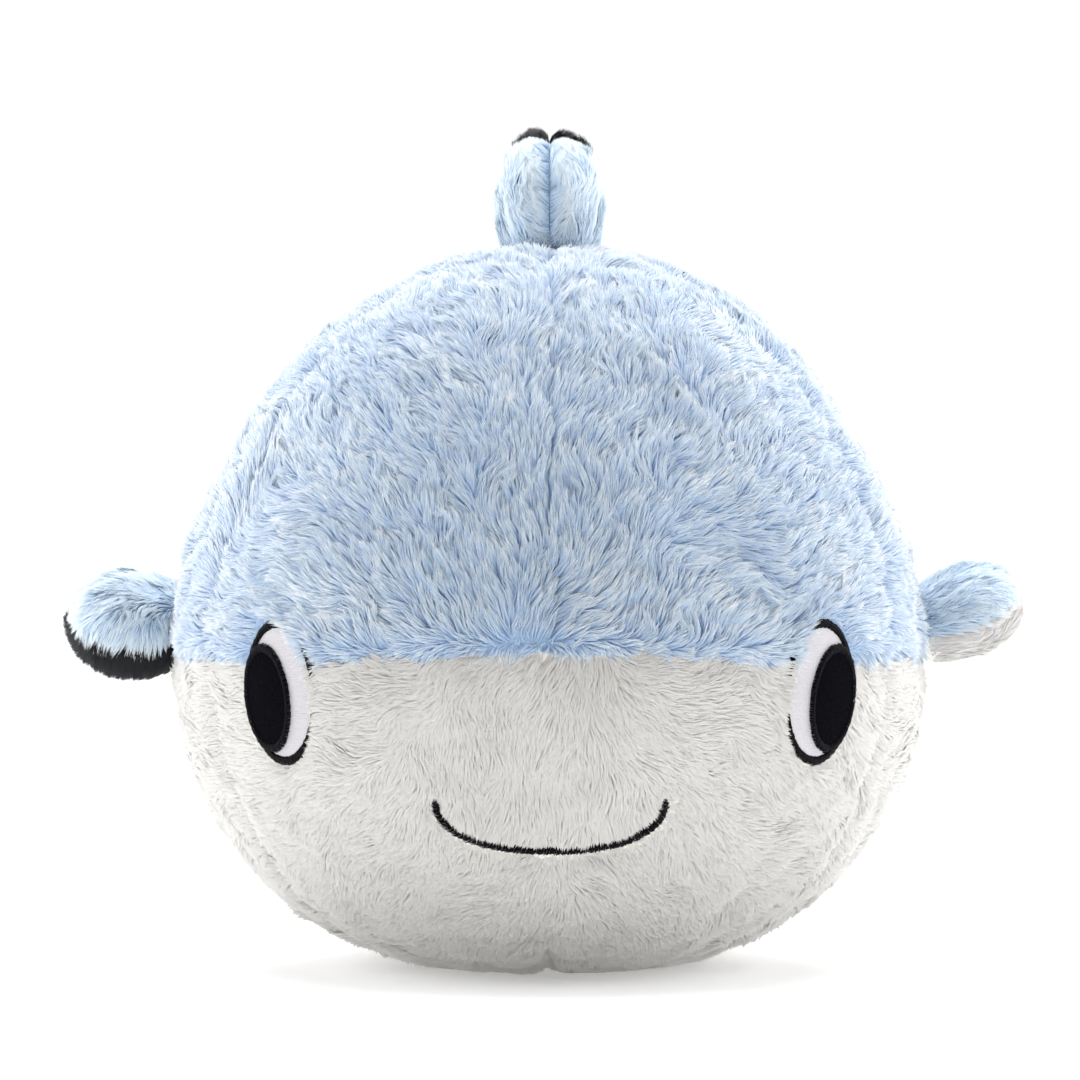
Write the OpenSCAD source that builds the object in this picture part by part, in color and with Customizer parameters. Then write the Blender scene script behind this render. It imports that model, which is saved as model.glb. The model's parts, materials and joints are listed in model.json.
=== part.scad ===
// A round plush shark: a stuffed ball of sewn plush panels with an appliqué face,
// two pectoral fins, a dorsal fin, a tail fin and a blank ribbon label.
// Millimetres. +Z is up, the shark looks along -Y, and its own left side is +X.
// The origin is on the floor, under the middle of the whole toy.

/* [Body] */
// Width of the sewn body, without its pile
body_w = 371; // [340:1:380]
// Height of the widest ring, where blue cloth meets white
seam_h = 150; // [140:1:160]
// Height of the body above its widest ring
crown_rise = 202; // [190:1:210]
// Depth of the face in front of the widest section
face_d = 172; // [150:1:180]
// Depth of the back behind the widest section
rear_d = 195; // [180:1:200]
// How much the filled belly is pressed flat by the floor
floor_sag = 3.5; // [2:0.5:6]
// Angle of the two side seams, measured round from the nose
side_seam_turn = 60; // [55:1:65]
// Thickness of the plush cloth with its flattened pile
cloth_t = 5; // [3:0.5:6]

/* [Face] */
// Distance of each eye from the middle of the face, across
eye_x = 125.5; // [115:0.5:130]
// Height of each eye's centre
eye_z = 139; // [130:0.5:145]
// Half width of the eye patch, seen from straight ahead
eye_half_w = 16.9; // [14:0.1:18]
// Half height of the eye patch
eye_half_h = 34.3; // [30:0.1:36]
// Half width of the pupil, seen from straight ahead
pupil_half_w = 10.8; // [9:0.1:12]
// Half height of the pupil
pupil_half_h = 25.5; // [22:0.1:28]
// Width of the satin stitch round the eye
rim_w = 4.4; // [3:0.1:5]
// Half width of the smile
mouth_half_w = 53; // [40:1:60]
// Height of the corners of the smile
mouth_z = 91; // [80:1:100]
// Drop from the corners of the smile to its lowest point
mouth_drop = 24; // [16:1:30]
// Width of the stitched mouth line
mouth_line_w = 4; // [3:0.1:5]

/* [Pectoral fins] */
// Length of a pectoral fin beyond its hinge line
fin_reach = 32.4; // [28:0.1:36]
// Half chord of a pectoral fin
fin_half_chord = 35; // [28:1:38]
// Half thickness of a pectoral fin at its fattest
fin_half_t = 21; // [14:0.5:21]
// Sweep of a pectoral fin's tip behind its root
fin_sweep = 6; // [0:1:15]
// Height of the right fin's hinge line
right_fin_z = 169; // [160:1:175]
// Height of the left fin's hinge line, sewn a little higher
left_fin_z = 174; // [160:1:178]
// Distance of the fins behind the widest section
fin_back = 15; // [5:1:25]
// Nose-down pitch of the shark's right fin
right_pitch = 15; // [10:1:30]
// Upward tilt of the shark's right fin at rest
right_raise = 5; // [0:1:15]
// Nose-down pitch of the shark's left fin
left_pitch = 11; // [5:1:25]
// Upward tilt of the shark's left fin at rest
left_raise = 18; // [15:1:35]

/* [Dorsal fin] */
// Height of the dorsal fin above its hinge line
dorsal_reach = 36; // [30:0.1:40]
// Half chord of the dorsal fin
dorsal_half_chord = 42; // [36:1:46]
// Half thickness of the dorsal fin at its fattest
dorsal_half_t = 25.5; // [20:0.5:26]
// Distance of the dorsal fin behind the widest section
dorsal_back = 21.5; // [15:0.5:30]
// Backward slope of the dorsal fin's hinge line
dorsal_slope = 5; // [3:0.5:8]
// Sweep of the dorsal tip behind the root
dorsal_sweep = 20; // [10:1:26]

/* [Tail fin] */
// Length of the tail fin behind its hinge line
tail_reach = 73.5; // [60:0.5:75]
// Half height of the tail fin across its two lobes
tail_half_span = 70; // [55:1:75]
// Half height of the tail fin at its root
tail_root = 24; // [18:1:30]
// Half thickness of the tail fin
tail_half_t = 13.5; // [10:0.5:13.5]
// Height of the middle of the tail fin
tail_z = 165; // [150:1:175]
// Depth of the notch between the lobes, as a share of the reach
tail_notch = 0.3; // [0.2:0.01:0.5]
// Rounding of the lobes' corners, as a share of the reach
tail_round = 0.14; // [0:0.01:0.2]

/* [Label] */
// Width of the ribbon label
label_w = 24; // [18:1:30]
// Length of the ribbon label
label_l = 44; // [30:1:55]

/* [Hidden] */

body_r = body_w / 2;
belly_drop = seam_h + floor_sag;
// The toy's overall depth runs from the nose to the tail tip, and the origin is at its middle
fit_gap = 0.5;                     // clearance between a moving fin's root and the body
seam_gap = 0.3;                    // gap between two panels at a seam
tail_r = tail_half_t + fit_gap;    // radius of the tail's rounded root
tail_lobe = 0.882;                 // share of its reach that the tail's rounded lobes get to
overall_d = face_d + rear_d + fit_gap + tail_r + tail_reach * tail_lobe;
mid_y = face_d - overall_d / 2;    // Y of the widest section
tail_y = mid_y + rear_d + fit_gap + tail_r;

blue = [0.64, 0.74, 0.84];
white = [0.90, 0.89, 0.87];
black = [0.05, 0.05, 0.06];
fill = [0.97, 0.97, 0.95];

turn_step = 10;                    // degrees between a panel's columns
lift_end = 89.4;                   // last row's angle, just short of the crown
floor_end = -89.9;                 // first row's angle, just short of the floor's middle
upper_rows = [0.1, 10, 20, 30, 40, 50, 60, 70, 80, lift_end];
lower_rows = [floor_end, -78, -70, -60, -50, -40, -30, -20, -10, -0.1];
seam_half_turn = 0.05;             // half of a meridian seam's gap, in degrees

// ---- Grids of points and the solids between them ----

function flat(grid) = [for (row = grid) each row];

// Two triangles for each cell of a grid; wrap joins the last column to the first
function cells(rows, cols, start, wrap, flip) = [
  for (i = [0 : rows - 2], j = [0 : cols - (wrap ? 1 : 2)])
    let (a = start + i * cols + j, b = start + i * cols + (j + 1) % cols)
      each flip ? [[a, b + cols, b], [a, a + cols, b + cols]] : [[a, b, b + cols], [a, b + cols, a + cols]]
];

// Triangles that join one edge of the outer grid to the same edge of the inner grid
function edge_strip(ids, inner, flip) = [
  for (k = [0 : len(ids) - 2])
    let (a = ids[k], b = ids[k + 1])
      each flip ? [[a, b, b + inner], [a, b + inner, a + inner]] : [[a, b + inner, b], [a, a + inner, b + inner]]
];

// Solid between an outer and an inner grid: a panel of cloth
module panel(outer, inner) {
  rows = len(outer);
  cols = len(outer[0]);
  n = rows * cols;
  polyhedron(
    points = concat(flat(outer), flat(inner)),
    faces = concat(
      cells(rows, cols, 0, false, false),
      cells(rows, cols, n, false, true),
      edge_strip([for (j = [0 : cols - 1]) j], n, false),
      edge_strip([for (j = [0 : cols - 1]) n - cols + j], n, true),
      edge_strip([for (i = [0 : rows - 1]) i * cols], n, true),
      edge_strip([for (i = [0 : rows - 1]) i * cols + cols - 1], n, false)
    )
  );
}

// Closed band between an outer and an inner grid whose columns wrap round: a stitched ring
module ring_band(outer, inner) {
  rows = len(outer);
  cols = len(outer[0]);
  n = rows * cols;
  loop = [for (j = [0 : cols]) j % cols];
  polyhedron(
    points = concat(flat(outer), flat(inner)),
    faces = concat(
      cells(rows, cols, 0, true, false),
      cells(rows, cols, n, true, true),
      edge_strip(loop, n, false),
      edge_strip([for (j = loop) n - cols + j], n, true)
    )
  );
}

// Disc between an outer and an inner grid whose first row is a small ring, closed by caps
module disc(outer, inner) {
  rows = len(outer);
  cols = len(outer[0]);
  n = rows * cols;
  loop = [for (j = [0 : cols]) j % cols];
  polyhedron(
    points = concat(flat(outer), flat(inner)),
    faces = concat(
      cells(rows, cols, 0, true, false),
      cells(rows, cols, n, true, true),
      edge_strip([for (j = loop) n - cols + j], n, true),
      [[for (j = [cols - 1 : -1 : 0]) j], [for (j = [0 : cols - 1]) n + j]]
    )
  );
}

// Closed solid of one grid whose columns wrap round, with a fan to a middle point at each end
module blob(grid) {
  rows = len(grid);
  cols = len(grid[0]);
  n = rows * cols;
  ends = [for (row = [grid[0], grid[rows - 1]]) [for (p = row) 1] * row / cols];
  polyhedron(
    points = concat(flat(grid), ends),
    faces = concat(
      cells(rows, cols, 0, true, false),
      [for (j = [0 : cols - 1]) [n, (j + 1) % cols, j]],
      [for (j = [0 : cols - 1]) [n + 1, n - cols + j, n - cols + (j + 1) % cols]]
    )
  );
}

// Closed solid of rings that each run out along one face of a fin and back along the other;
// strips between the two faces close its ends, so an end may be notched
module pillow(grid) {
  rows = len(grid);
  cols = len(grid[0]);
  end = (rows - 1) * cols;
  strips = [
    for (k = [0 : cols / 2 - 1])
      let (a = k, b = k + 1, c = cols - b, d = (cols - a) % cols)
        each concat(b == c ? [] : [[a, b, c]], a == d ? [] : [[a, c, d]])
  ];
  polyhedron(
    points = flat(grid),
    faces = concat(
      cells(rows, cols, 0, true, false),
      [for (t = strips) [t[0], t[2], t[1]]],
      [for (t = strips) [end + t[0], end + t[1], end + t[2]]]
    )
  );
}

// ---- The body's surface ----

// Rounding of the body's outline: exponents of its superellipses
crown_pow = [2.1, 1.8];
belly_pow = [2.6, 1.9];

// Point at an angle round from the nose and an angle up from the seam; inset moves it inside
function body_point(turn, lift, inset = 0) =
  let (
    pow2 = lift > 0 ? crown_pow : belly_pow,
    share = pow(cos(lift), 2 / pow2[0]),
    rise = (lift > 0 ? crown_rise : -belly_drop) + (lift > 0 ? -inset : inset),
    z = seam_h + rise * pow(abs(sin(lift)), 2 / pow2[1]),
    depth = (cos(turn) > 0 ? face_d : rear_d) - inset
  )
    [(body_r - inset) * share * sin(turn), mid_y - depth * share * cos(turn), max(z, inset)];

function body_grid(from, to, rows, inset = 0) =
  let (steps = round((to - from) / turn_step))
    [for (lift = rows) [for (k = [0 : steps]) body_point(from + (to - from) * k / steps, lift, inset)]];

module body_panel(from, to, rows) {
  a = from + seam_half_turn;
  b = to - seam_half_turn;
  panel(body_grid(a, b, rows), body_grid(a, b, rows, cloth_t));
}

// Share of the full radius that the body has at a height; grow moves the surface out
function share_at(z, grow = 0) = z > seam_h
  ? pow(1 - pow((z - seam_h) / (crown_rise + grow), crown_pow[1]), 1 / crown_pow[0])
  : pow(1 - pow((seam_h - z) / (belly_drop + grow), belly_pow[1]), 1 / belly_pow[0]);

// Point of the face above a place of the front view, grow outside the cloth
function face_point(x, z, grow) =
  let (share = share_at(z, grow), across = x / (body_r + grow))
    [x, mid_y - (face_d + grow) * sqrt(share * share - across * across), z];

// Point of the body at an angle round the seam, and the outward direction there
function ring_point(turn, grow = 0) = body_point(turn, 0, -grow);
function ring_heading(turn) =
  let (p = ring_point(turn), d = cos(turn) > 0 ? face_d : rear_d)
    atan2((p.y - mid_y) / (d * d), p.x / (body_r * body_r));

// ---- Body nodes ----

module body_stuffing() color(fill) {
  inset = cloth_t + seam_gap;
  turns = [for (turn = [0 : turn_step : 359]) turn];
  rows = concat([for (lift = lower_rows) lift], [for (lift = upper_rows) if (lift > 1) lift]);
  blob([for (lift = rows) [for (turn = turns) body_point(turn, lift, inset)]]);
}

module forehead_left() color(blue) body_panel(0, side_seam_turn, upper_rows);
module forehead_right() color(blue) body_panel(-side_seam_turn, 0, upper_rows);
module back_left() color(blue) body_panel(side_seam_turn, 180, upper_rows);
module back_right() color(blue) body_panel(-180, -side_seam_turn, upper_rows);
module muzzle_panel() color(white) body_panel(-side_seam_turn, side_seam_turn, lower_rows);
module belly_left() color(white) body_panel(side_seam_turn, 180, lower_rows);
module belly_right() color(white) body_panel(-180, -side_seam_turn, lower_rows);

// ---- Face ----

eye_sides = 28;                    // corners round an eye's outline
patch_t = 1;                       // thickness of the eye's satin and felt
stitch_t = 1.9;                    // height of a satin stitch
lap = 0.3;                         // clearance between stacked layers
pupil_x = eye_x + eye_half_w - pupil_half_w;
pupil_z = eye_z - 3;
pupil_lift = lap + stitch_t + lap;

// Ring of points round an oval of the left side of the face, shrunk by a width
function oval(cx, cz, half_w, half_h, less, grow) = [
  for (k = [0 : eye_sides - 1])
    let (a = 360 * k / eye_sides)
      face_point(cx + (half_w - less * half_w / half_h) * cos(a), cz + (half_h - less) * sin(a), grow)
];

// Patch inside an oval's rim, and the rim itself
module oval_patch(cx, cz, half_w, half_h, less, low, high) {
  cuts = [for (share = [0.1, 0.4, 0.7, 1]) half_h - (half_h - less) * share];
  disc(
    [for (cut = cuts) oval(cx, cz, half_w, half_h, cut, high)],
    [for (cut = cuts) oval(cx, cz, half_w, half_h, cut, low)]
  );
}
module oval_rim(cx, cz, half_w, half_h, width, low, high) {
  cuts = [width, width / 2, 0];
  ring_band(
    [for (cut = cuts) oval(cx, cz, half_w, half_h, cut, high)],
    [for (cut = cuts) oval(cx, cz, half_w, half_h, cut, low)]
  );
}

module left_eye_white() color(white)
  oval_patch(eye_x, eye_z, eye_half_w, eye_half_h, rim_w + lap, lap, lap + patch_t);
module left_eye_rim() color(black)
  oval_rim(eye_x, eye_z, eye_half_w, eye_half_h, rim_w, lap, lap + stitch_t);
module left_pupil() color(black)
  oval_patch(pupil_x, pupil_z, pupil_half_w, pupil_half_h, rim_w + lap, pupil_lift, pupil_lift + patch_t);
module left_pupil_rim() color(black)
  oval_rim(pupil_x, pupil_z, pupil_half_w, pupil_half_h, rim_w, pupil_lift, pupil_lift + stitch_t);

module right_eye_white() mirror([1, 0, 0]) left_eye_white();
module right_eye_rim() mirror([1, 0, 0]) left_eye_rim();
module right_pupil() mirror([1, 0, 0]) left_pupil();
module right_pupil_rim() mirror([1, 0, 0]) left_pupil_rim();

// The smile is the lower half of a superellipse, swept by a flat stitched band
mouth_pow = 2.3;
mouth_steps = 28;
function mouth_at(a, out) =
  let (w = mouth_half_w + out, h = mouth_drop + out)
    [-w * sign(cos(a)) * pow(abs(cos(a)), 2 / mouth_pow), mouth_z - h * pow(sin(a), 2 / mouth_pow)];

module mouth_embroidery() color(black) {
  angles = [for (k = [0 : mouth_steps]) 180 * k / mouth_steps];
  edges = [mouth_line_w / 2, -mouth_line_w / 2];
  panel(
    [for (out = edges) [for (a = angles) let (p = mouth_at(a, out)) face_point(p[0], p[1], lap + stitch_t)]],
    [for (out = edges) [for (a = angles) let (p = mouth_at(a, out)) face_point(p[0], p[1], lap)]]
  );
}

// ---- Fins ----
// A fin is a sewn pillow in its own frame: X outward from the hinge line, Y along the
// chord, Z through the thickness. Inboard of the hinge line its root is rounded about
// that line, so it turns without touching the body.
// A shape is [reach, half chord, half thickness, sweep, half span of its lobes or 0,
// notch between the lobes, rounding of the lobes' corners].

fin_cloth_t = 3;
chord_angles = [-90, -68, -45, -22, 0, 22, 45, 68, 90];
fin_steps = 9;                     // rows of facets from root to tip
root_share = 0.78;                 // chord of the root's innermost edge, as a share
tip_close = 84;                    // angle that leaves a blunt, rounded tip
section_pow = 0.75;                // below 1 makes the pillow's section fuller than an ellipse

// Point of a fin: across is an angle over the chord, along runs from -1 at the root's
// inner edge through 0 at the hinge line to 1 at the tip
function fin_point(shape, across, along, side, inset) =
  let (
    root = shape[2] - inset,
    reach = shape[0] - inset,
    half = along < 0
      ? shape[1] * (1 - (1 - root_share) * pow(sin(90 * along), 2))
      : shape[4] > 0
        ? shape[1] + (shape[4] - shape[1]) * pow(sin(90 * along), 1.3)
        : shape[1] * pow(cos(tip_close * along), 0.8),
    cut = shape[5] * pow(cos(across), 2) + shape[6] * pow(sin(across), 8),
    out = along < 0 ? root * sin(90 * along) : reach * sin(90 * along) * (1 - cut),
    sweep = along < 0 ? 0 : shape[3] * pow(sin(90 * along), 2),
    half_in = max(half - inset, half * 0.3),
    thick = root * pow(cos(90 * along), along < 0 ? 1 : 0.8) * pow(cos(across), section_pow)
  )
    [out, sweep + half_in * sin(across), side * max(thick, seam_gap / 2)];

// Rows between two limits, which may differ from the leading edge to the trailing one
function fin_grid(shape, low, high, side, inset, steps) = [
  for (i = [0 : steps]) [
    for (across = chord_angles)
      let (
        lean = (1 + sin(across)) / 2,
        from = low[0] + (low[1] - low[0]) * lean,
        to = high[0] + (high[1] - high[0]) * lean
      )
        fin_point(shape, across, from + (to - from) * i / steps, side, inset)
  ]
];

// One face of a fin: a shell of cloth on one side of its seam
module fin_face(shape, side, low = [-1, -1], high = [1, 1], steps = fin_steps) {
  outer = fin_grid(shape, low, high, side, 0, steps);
  inner = fin_grid(shape, low, high, side, fin_cloth_t, steps);
  if (side > 0) panel(outer, inner);
  else panel(inner, outer);
}

// The filling keeps the rows and columns of the cloth, so it stays inside it everywhere
fill_gap = 1.5;
module fin_stuffing(shape) {
  inset = fin_cloth_t + fill_gap;
  last = len(chord_angles) - 1;
  pillow([
    for (i = [1 : fin_steps - 1])
      let (along = -1 + 2 * i / fin_steps)
        concat(
          [
            for (k = [0 : last])
              let (p = fin_point(shape, chord_angles[k], along, 1, inset))
                [p.x, p.y, k == 0 || k == last ? 0 : p.z]
          ],
          [for (k = [last - 1 : -1 : 1]) fin_point(shape, chord_angles[k], along, -1, inset)]
        )
  ]);
}

pectoral = [fin_reach, fin_half_chord, fin_half_t, fin_sweep, 0, 0, 0];
dorsal = [dorsal_reach, dorsal_half_chord, dorsal_half_t, dorsal_sweep, 0, 0, 0];
tail = [tail_reach, tail_root, tail_half_t, 0, tail_half_span, tail_notch, tail_round];

fin_hinge_x = body_r + fit_gap + fin_half_t;

// Place a pectoral fin on the left side with its hinge line at height z
module on_side(z, pitch, raise)
  translate([fin_hinge_x, mid_y + fin_back, z]) rotate([pitch, 0, 0]) rotate([0, -raise, 0]) children();
module on_left() on_side(left_fin_z, left_pitch, left_raise) children();
module on_right() mirror([1, 0, 0]) on_side(right_fin_z, right_pitch, right_raise) children();

module left_fin_top() color(blue) on_left() fin_face(pectoral, 1);
module left_fin_underside() color(white) on_left() fin_face(pectoral, -1);
module left_fin_stuffing() color(fill) on_left() fin_stuffing(pectoral);
module right_fin_top() color(blue) on_right() fin_face(pectoral, 1);
module right_fin_underside() color(black) on_right() fin_face(pectoral, -1);
module right_fin_stuffing() color(fill) on_right() fin_stuffing(pectoral);

// The dorsal fin's hinge line slopes back and clears the crown everywhere
dorsal_z = seam_h + crown_rise + dorsal_half_t + fit_gap - 0.6;
module on_crown()
  translate([0, mid_y + dorsal_back, dorsal_z]) rotate([-dorsal_slope, 0, 0])
    multmatrix([[0, 0, 1, 0], [0, 1, 0, 0], [1, 0, 0, 0]]) children();

// Where the black tip starts, at the leading edge and at the trailing edge
tip_low = [0.80, 0.36];
tip_gap = 0.01;
module dorsal_lower(side) color(blue)
  on_crown() fin_face(dorsal, side, [-1, -1], tip_low - [tip_gap, tip_gap], 7);
module dorsal_upper(side) color(black)
  on_crown() fin_face(dorsal, side, tip_low, [1, 1], 4);
module dorsal_fin_left() dorsal_lower(1);
module dorsal_fin_right() dorsal_lower(-1);
module dorsal_tip_left() dorsal_upper(1);
module dorsal_tip_right() dorsal_upper(-1);
module dorsal_fin_stuffing() color(fill) on_crown() fin_stuffing(dorsal);

// The tail's hinge line is upright, so its frame is turned: chord along Z, thickness along X
module on_rear()
  translate([0, tail_y, tail_z]) multmatrix([[0, 0, 1, 0], [1, 0, 0, 0], [0, 1, 0, 0]]) children();
module tail_fin_left() color(blue) on_rear() fin_face(tail, 1);
module tail_fin_right() color(blue) on_rear() fin_face(tail, -1);
module tail_fin_stuffing() color(fill) on_rear() fin_stuffing(tail);

// ---- Stitching and label ----

stitch_r = 0.8;
stitch_l = 8;
stitch_turns = [for (k = [0 : 9]) -156 + 1.6 * k];
module closing_stitch() color(white)
  for (turn = stitch_turns)
    translate(ring_point(turn, stitch_r + lap) - [0, 0, stitch_l / 2])
      cylinder(h = stitch_l, r = stitch_r, $fn = 16);

label_turn = 150;
label_t = 1.2;
roll_r = 0.9;                      // radius of the label's folded, sewn edge
label_out = roll_r + fit_gap;
module care_label() color(white)
  translate(ring_point(label_turn, label_out)) rotate([0, 0, ring_heading(label_turn)]) {
    translate([0, -label_w / 2, 0]) rotate([-90, 0, 0]) cylinder(h = label_w, r = roll_r, $fn = 24);
    translate([-label_t / 2, -label_w / 2, -label_l]) cube([label_t, label_w, label_l]);
  }

body_stuffing();
forehead_left();
forehead_right();
back_left();
back_right();
muzzle_panel();
belly_left();
belly_right();
mouth_embroidery();
left_eye_white();
left_eye_rim();
left_pupil();
left_pupil_rim();
right_eye_white();
right_eye_rim();
right_pupil();
right_pupil_rim();
left_fin_top();
left_fin_underside();
left_fin_stuffing();
right_fin_top();
right_fin_underside();
right_fin_stuffing();
dorsal_fin_left();
dorsal_fin_right();
dorsal_tip_left();
dorsal_tip_right();
dorsal_fin_stuffing();
tail_fin_left();
tail_fin_right();
tail_fin_stuffing();
closing_stitch();
care_label();
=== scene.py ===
"""Looks of a round plush shark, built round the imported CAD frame.

The shark looks along -Y, its own left side is +X, and +Z is up. Every skin is a smooth
sewn panel, and the pile is real geometry: tapered strands that grow from the skins, lean
with the nap and gather into locks. Eyes and smile are satin-stitched threads.
"""

import json
import math

import bpy
import numpy as np
from mathutils import Matrix, Vector
from mathutils.kdtree import KDTree


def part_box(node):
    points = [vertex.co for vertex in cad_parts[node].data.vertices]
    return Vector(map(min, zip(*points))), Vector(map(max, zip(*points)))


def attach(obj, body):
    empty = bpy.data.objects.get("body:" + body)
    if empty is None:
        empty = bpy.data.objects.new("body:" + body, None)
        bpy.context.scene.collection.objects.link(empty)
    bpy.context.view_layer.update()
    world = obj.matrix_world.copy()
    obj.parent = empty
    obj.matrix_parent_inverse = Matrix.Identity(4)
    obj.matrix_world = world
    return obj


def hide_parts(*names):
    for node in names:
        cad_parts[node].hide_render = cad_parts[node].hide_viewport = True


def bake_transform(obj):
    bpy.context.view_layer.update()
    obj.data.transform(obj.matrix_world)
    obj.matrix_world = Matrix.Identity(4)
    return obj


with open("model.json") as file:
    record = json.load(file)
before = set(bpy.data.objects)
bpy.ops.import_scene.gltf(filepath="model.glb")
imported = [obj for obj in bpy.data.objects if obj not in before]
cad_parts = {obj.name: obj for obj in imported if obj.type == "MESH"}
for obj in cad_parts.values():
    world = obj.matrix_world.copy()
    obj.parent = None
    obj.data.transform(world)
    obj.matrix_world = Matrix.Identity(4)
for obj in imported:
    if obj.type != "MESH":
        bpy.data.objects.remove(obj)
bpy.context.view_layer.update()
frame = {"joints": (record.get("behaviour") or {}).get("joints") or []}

MM = 0.001
joints = {joint["name"]: joint for joint in frame["joints"]}


# ---- Driving sizes, from the frame where it holds them ----


def low(node):
    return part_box(node)[0]


def high(node):
    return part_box(node)[1]


def front_view(node):
    """Middle x, middle z, half width and half height of a node, seen from the front."""
    a, b = low(node), high(node)
    return (b.x + a.x) / 2, (b.z + a.z) / 2, (b.x - a.x) / 2, (b.z - a.z) / 2


BODY_R = high("back_left").x
SEAM_Z = (low("forehead_left").z + high("muzzle_panel").z) / 2
CROWN_RISE = high("back_left").z - SEAM_Z
FACE_D = 172 * MM
MID_Y = low("muzzle_panel").y + FACE_D
REAR_D = high("back_left").y - MID_Y
BELLY_DROP = SEAM_Z + 3.5 * MM
CROWN_POW = (2.1, 1.8)
BELLY_POW = (2.6, 1.9)
SIDE_SEAM = math.radians(60)

EYE_X, EYE_Z, EYE_HALF_W, EYE_HALF_H = front_view("left_eye_rim")
RIM_W = 4.4 * MM
MOUTH_W = 4.0 * MM
MOUTH_HALF_W = high("mouth_embroidery").x - MOUTH_W / 2
MOUTH_Z = high("mouth_embroidery").z
MOUTH_DROP = MOUTH_Z - low("mouth_embroidery").z - MOUTH_W / 2
MOUTH_POW = 2.3

PILE_L = 13 * MM
BELLY_PILE_L = 9 * MM
FIN_PILE_L = 9.5 * MM


# ---- Small vector helpers ----


def unit(v):
    return v / np.maximum(np.linalg.norm(v, axis=-1, keepdims=True), 1e-12)


def tangent(v, normal):
    """The part of v that lies in the surface, as a unit vector."""
    return unit(v - (v * normal).sum(-1, keepdims=True) * normal)


def turned(v, axis, angle):
    """v turned about unit axis by angle, for arrays of vectors."""
    c, s = np.cos(angle)[:, None], np.sin(angle)[:, None]
    return v * c + np.cross(axis, v) * s + axis * (axis * v).sum(-1, keepdims=True) * (1 - c)


def waves(points, size, seed, count=12):
    """Smooth noise of about unit spread: a sum of plane waves about size long."""
    rng = np.random.default_rng(seed)
    heading = unit(rng.normal(size=(count, 3))) * (2 * math.pi / size) * rng.uniform(0.7, 1.4, (count, 1))
    return np.sin(points @ heading.T + rng.uniform(0, 2 * math.pi, count)).sum(-1) * math.sqrt(2 / count)


def smooth_step(value, start, end):
    t = np.clip((value - start) / (end - start), 0, 1)
    return t * t * (3 - 2 * t)


# ---- Meshes ----


def new_object(name, data):
    thing = bpy.data.objects.new(name, data)
    bpy.context.scene.collection.objects.link(thing)
    return thing


def make_mesh(name, points, faces):
    mesh = bpy.data.meshes.new(name)
    mesh.from_pydata([tuple(p) for p in points], [], [tuple(map(int, f)) for f in faces])
    mesh.update()
    mesh.shade_smooth()
    return new_object(name, mesh)


def rides(body):
    return lambda piece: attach(piece, body)


def add_piece(name, points, faces, material, place_on, node):
    """A mesh that stands for a CAD node; place_on(piece) makes it move with its body."""
    piece = make_mesh(name, points, faces)
    piece.data.materials.append(material)
    place_on(piece)
    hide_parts(node)
    return piece


def set_attribute(mesh, name, values):
    data = mesh.attributes.new(name, "FLOAT", "POINT").data
    data.foreach_set("value", np.asarray(values, np.float32))


def grid_faces(rows, cols, wrap=False):
    """Quads of a grid of rows by cols points; wrap joins the last column to the first."""
    i, j = np.meshgrid(np.arange(rows - 1), np.arange(cols if wrap else cols - 1), indexing="ij")
    a = i * cols + j
    b = i * cols + (j + 1) % cols
    return np.stack([a, b, b + cols, a + cols], -1).reshape(-1, 4)


def grid_normals(points):
    """Unit normals of a rows by cols by 3 grid of points, by central differences."""
    along = np.gradient(points, axis=0)
    across = np.gradient(points, axis=1)
    return unit(np.cross(across, along))


# ---- Body surface ----


def body_points(turn, lift, out=0.0):
    """Stuffed body at angles round from the nose and up from the seam, before its seams pull in."""
    up = lift > 0
    share_pow = np.where(up, 2 / CROWN_POW[0], 2 / BELLY_POW[0])
    rise_pow = np.where(up, 2 / CROWN_POW[1], 2 / BELLY_POW[1])
    share = np.maximum(np.cos(lift), 0) ** share_pow
    rise = np.where(up, CROWN_RISE + out, -BELLY_DROP - out)
    z = np.maximum(SEAM_Z + rise * np.abs(np.sin(lift)) ** rise_pow, 0)
    depth = np.where(np.cos(turn) > 0, FACE_D, REAR_D) + out
    return np.stack([(BODY_R + out) * share * np.sin(turn), MID_Y - depth * share * np.cos(turn), z], -1)


SEAM_GROOVE = 1.1 * MM
SEAM_GROOVE_W = 5 * MM
LARGE_LUMP_H = 0.9 * MM
SMALL_LUMP_H = 0.35 * MM
SKIN_INSET = 1.0 * MM
SHOULDER_INSET = 1.0 * MM
CROWN_FILL = 1.8 * MM
SEAM_RISE = 3.0 * MM
SEAM_NOSE_RISE = 6.0 * MM
SEAM_EYE_DIP = 1.5 * MM
EYE_TURN = math.radians(44)
DART_TOP = 36 * MM
DART_DEPTH = 3.5 * MM
DART_W = 5 * MM


def turn_of(points):
    """Angle round from the nose of points on the body."""
    x, y = points[..., 0], points[..., 1]
    return np.arctan2(x / BODY_R, -(y - MID_Y) / np.where(y < MID_Y, FACE_D, REAR_D))


def seam_rise(turn):
    """Height of the seam of blue and white above its level at the rear: highest over the nose."""
    turn = np.abs(turn)
    nose = SEAM_NOSE_RISE * (1 - smooth_step(turn, math.radians(4), math.radians(32)))
    dip = SEAM_EYE_DIP * np.exp(-(((turn - EYE_TURN) / math.radians(9)) ** 2))
    return SEAM_RISE * (1 - smooth_step(turn, math.radians(65), math.radians(100))) + nose - dip


def seam_lift(turn):
    return np.arcsin((np.maximum(seam_rise(turn), 0) / CROWN_RISE) ** (CROWN_POW[1] / 2))


def above_seam(points):
    return points[..., 2] - SEAM_Z - seam_rise(turn_of(points))


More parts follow.
